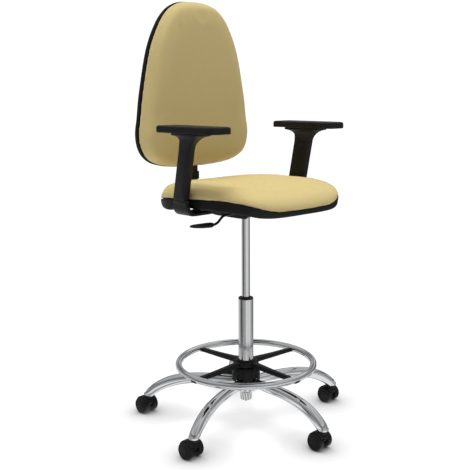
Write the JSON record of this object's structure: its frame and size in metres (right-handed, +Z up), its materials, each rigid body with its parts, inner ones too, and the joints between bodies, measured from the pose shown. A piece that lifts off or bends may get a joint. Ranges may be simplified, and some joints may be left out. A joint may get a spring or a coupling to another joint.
{
  "type": "swivel work stool",
  "caption": "Tall gas-lift work stool with foot ring, T-shaped height-adjustable arms, waterfall seat, tapered padded back and a five-star castor base.",
  "frame": {"origin": "middle of the overall box on the floor plane, 19.5 mm in front of the column axis", "axes": "+Z up from the floor, the sitter faces -Y, the height lever is on the -X side"},
  "size_m": [0.708, 0.6751, 1.3854],
  "materials": {
    "chrome_plate": "polished chrome plate",
    "zinc_steel": "bright zinc plated",
    "black_plastic": "fine-textured moulded black",
    "black_steel": "black powder coat",
    "castor_tread": "black nylon",
    "black_nylon": "smooth nylon",
    "upholstery": "sand woven cloth",
    "plywood": "moulded plywood"
  },
  "bodies": {
    "base": {"base_hub": "chrome_plate", "hub_cover": "black_plastic", "leg_1": "chrome_plate", "leg_2": "chrome_plate", "leg_3": "chrome_plate", "leg_4": "chrome_plate", "leg_5": "chrome_plate", "column_tube": "chrome_plate", "guide_bush": "black_nylon"},
    "lift_core": {"piston_rod": "zinc_steel", "thrust_bearing": "zinc_steel"},
    "seat": {"pressure_tube": "chrome_plate", "mechanism": "black_steel", "back_pivot_pin": "zinc_steel", "seat_shell": "black_plastic", "seat_board": "plywood", "seat_cushion": "upholstery", "arm_bracket_r": "black_steel", "arm_bracket_l": "black_steel"},
    "lever": {"height_lever": "black_steel", "lever_paddle": "black_plastic"},
    "valve": {"valve_button": "zinc_steel"},
    "back_frame": {"back_support": "black_steel", "back_clamp": "black_plastic"},
    "back": {"back_upright": "black_steel", "back_bracket": "black_steel", "back_board": "plywood", "back_cushion": "upholstery", "back_shell": "black_plastic"},
    "back_knob": {"back_knob": "black_plastic"},
    "arm_r": {"arm_sleeve_r": "black_plastic", "arm_pad_r": "black_plastic"},
    "arm_l": {"arm_sleeve_l": "black_plastic", "arm_pad_l": "black_plastic"},
    "arm_button_r": {"arm_button_r": "black_nylon"},
    "arm_button_l": {"arm_button_l": "black_nylon"},
    "foot_ring": {"foot_ring": "chrome_plate", "ring_hub": "black_plastic", "ring_bush": "black_nylon"},
    "ring_knob": {"ring_knob": "black_plastic"},
    "castor_1": {"castor_hood_1": "black_plastic", "castor_axle_1": "zinc_steel"},
    "wheel_1a": {"castor_wheel_1a": "castor_tread"},
    "wheel_1b": {"castor_wheel_1b": "castor_tread"},
    "castor_2": {"castor_hood_2": "black_plastic", "castor_axle_2": "zinc_steel"},
    "wheel_2a": {"castor_wheel_2a": "castor_tread"},
    "wheel_2b": {"castor_wheel_2b": "castor_tread"},
    "castor_3": {"castor_hood_3": "black_plastic", "castor_axle_3": "zinc_steel"},
    "wheel_3a": {"castor_wheel_3a": "castor_tread"},
    "wheel_3b": {"castor_wheel_3b": "castor_tread"},
    "castor_4": {"castor_hood_4": "black_plastic", "castor_axle_4": "zinc_steel"},
    "wheel_4a": {"castor_wheel_4a": "castor_tread"},
    "wheel_4b": {"castor_wheel_4b": "castor_tread"},
    "castor_5": {"castor_hood_5": "black_plastic", "castor_axle_5": "zinc_steel"},
    "wheel_5a": {"castor_wheel_5a": "castor_tread"},
    "wheel_5b": {"castor_wheel_5b": "castor_tread"}
  },
  "joints": [
    {"name": "seat_swivel", "type": "hinge", "parent": "base", "child": "lift_core", "pos_m": [0, 0.0195, 0.4], "axis": [0, 0, 1], "continuous": true},
    {"name": "seat_lift", "type": "slide", "parent": "lift_core", "child": "seat", "axis": [0, 0, 1], "range_m": [-0.25, 0]},
    {"name": "height_lever", "type": "hinge", "parent": "seat", "child": "lever", "pos_m": [-0.04, 0.0195, 0.727], "axis": [0, 1, 0], "range_deg": [0, 4], "stiffness_Nm_per_rad": 3, "springref_deg": -2.86},
    {"name": "valve_press", "type": "slide", "parent": "seat", "child": "valve", "axis": [0, 0, 1], "range_m": [-0.0036, 0]},
    {"name": "back_tilt", "type": "hinge", "parent": "seat", "child": "back_frame", "pos_m": [0, 0.1295, 0.714], "axis": [-1, 0, 0], "range_deg": [0, 12]},
    {"name": "back_height", "type": "slide", "parent": "back_frame", "child": "back", "axis": [0, 0, 1], "range_m": [0, 0.06]},
    {"name": "back_lock", "type": "hinge", "parent": "back_frame", "child": "back_knob", "pos_m": [0, 0.3045, 0.809], "axis": [0, 1, 0], "range_deg": [-180, 0]},
    {"name": "arm_height_r", "type": "slide", "parent": "seat", "child": "arm_r", "axis": [0, -0.1961, 0.9806], "range_m": [0, 0.06]},
    {"name": "arm_release_r", "type": "slide", "parent": "arm_r", "child": "arm_button_r", "axis": [0, -0.9806, -0.1961], "range_m": [0, 0.0025], "stiffness_N_per_m": 600, "springref_m": -0.002},
    {"name": "arm_height_l", "type": "slide", "parent": "seat", "child": "arm_l", "axis": [0, -0.1961, 0.9806], "range_m": [0, 0.06]},
    {"name": "arm_release_l", "type": "slide", "parent": "arm_l", "child": "arm_button_l", "axis": [0, -0.9806, -0.1961], "range_m": [0, 0.0025], "stiffness_N_per_m": 600, "springref_m": -0.002},
    {"name": "ring_height", "type": "slide", "parent": "base", "child": "foot_ring", "axis": [0, 0, 1], "range_m": [0, 0.18]},
    {"name": "ring_lock", "type": "hinge", "parent": "foot_ring", "child": "ring_knob", "pos_m": [0.04, 0.0595, 0.2006], "axis": [0.7071, 0.7071, 0], "range_deg": [-180, 0]},
    {"name": "castor_swivel_1", "type": "hinge", "parent": "base", "child": "castor_1", "pos_m": [0, -0.3205, 0.054], "axis": [0, 0, 1], "continuous": true},
    {"name": "wheel_spin_1a", "type": "hinge", "parent": "castor_1", "child": "wheel_1a", "pos_m": [0, -0.3065, 0.0275], "axis": [1, 0, 0], "continuous": true},
    {"name": "wheel_spin_1b", "type": "hinge", "parent": "castor_1", "child": "wheel_1b", "pos_m": [0, -0.3065, 0.0275], "axis": [1, 0, 0], "continuous": true},
    {"name": "castor_swivel_2", "type": "hinge", "parent": "base", "child": "castor_2", "pos_m": [0.32336, -0.08557, 0.054], "axis": [0, 0, 1], "continuous": true},
    {"name": "wheel_spin_2a", "type": "hinge", "parent": "castor_2", "child": "wheel_2a", "pos_m": [0.32336, -0.07157, 0.0275], "axis": [1, 0, 0], "continuous": true},
    {"name": "wheel_spin_2b", "type": "hinge", "parent": "castor_2", "child": "wheel_2b", "pos_m": [0.32336, -0.07157, 0.0275], "axis": [1, 0, 0], "continuous": true},
    {"name": "castor_swivel_3", "type": "hinge", "parent": "base", "child": "castor_3", "pos_m": [0.19985, 0.29457, 0.054], "axis": [0, 0, 1], "continuous": true},
    {"name": "wheel_spin_3a", "type": "hinge", "parent": "castor_3", "child": "wheel_3a", "pos_m": [0.19985, 0.30857, 0.0275], "axis": [1, 0, 0], "continuous": true},
    {"name": "wheel_spin_3b", "type": "hinge", "parent": "castor_3", "child": "wheel_3b", "pos_m": [0.19985, 0.30857, 0.0275], "axis": [1, 0, 0], "continuous": true},
    {"name": "castor_swivel_4", "type": "hinge", "parent": "base", "child": "castor_4", "pos_m": [-0.19985, 0.29457, 0.054], "axis": [0, 0, 1], "continuous": true},
    {"name": "wheel_spin_4a", "type": "hinge", "parent": "castor_4", "child": "wheel_4a", "pos_m": [-0.19985, 0.30857, 0.0275], "axis": [1, 0, 0], "continuous": true},
    {"name": "wheel_spin_4b", "type": "hinge", "parent": "castor_4", "child": "wheel_4b", "pos_m": [-0.19985, 0.30857, 0.0275], "axis": [1, 0, 0], "continuous": true},
    {"name": "castor_swivel_5", "type": "hinge", "parent": "base", "child": "castor_5", "pos_m": [-0.32336, -0.08557, 0.054], "axis": [0, 0, 1], "continuous": true},
    {"name": "wheel_spin_5a", "type": "hinge", "parent": "castor_5", "child": "wheel_5a", "pos_m": [-0.32336, -0.07157, 0.0275], "axis": [1, 0, 0], "continuous": true},
    {"name": "wheel_spin_5b", "type": "hinge", "parent": "castor_5", "child": "wheel_5b", "pos_m": [-0.32336, -0.07157, 0.0275], "axis": [1, 0, 0], "continuous": true}
  ],
  "couplings": [
    {"joint": "valve_press", "follows": "height_lever", "m_per_rad": -0.046}
  ]
}
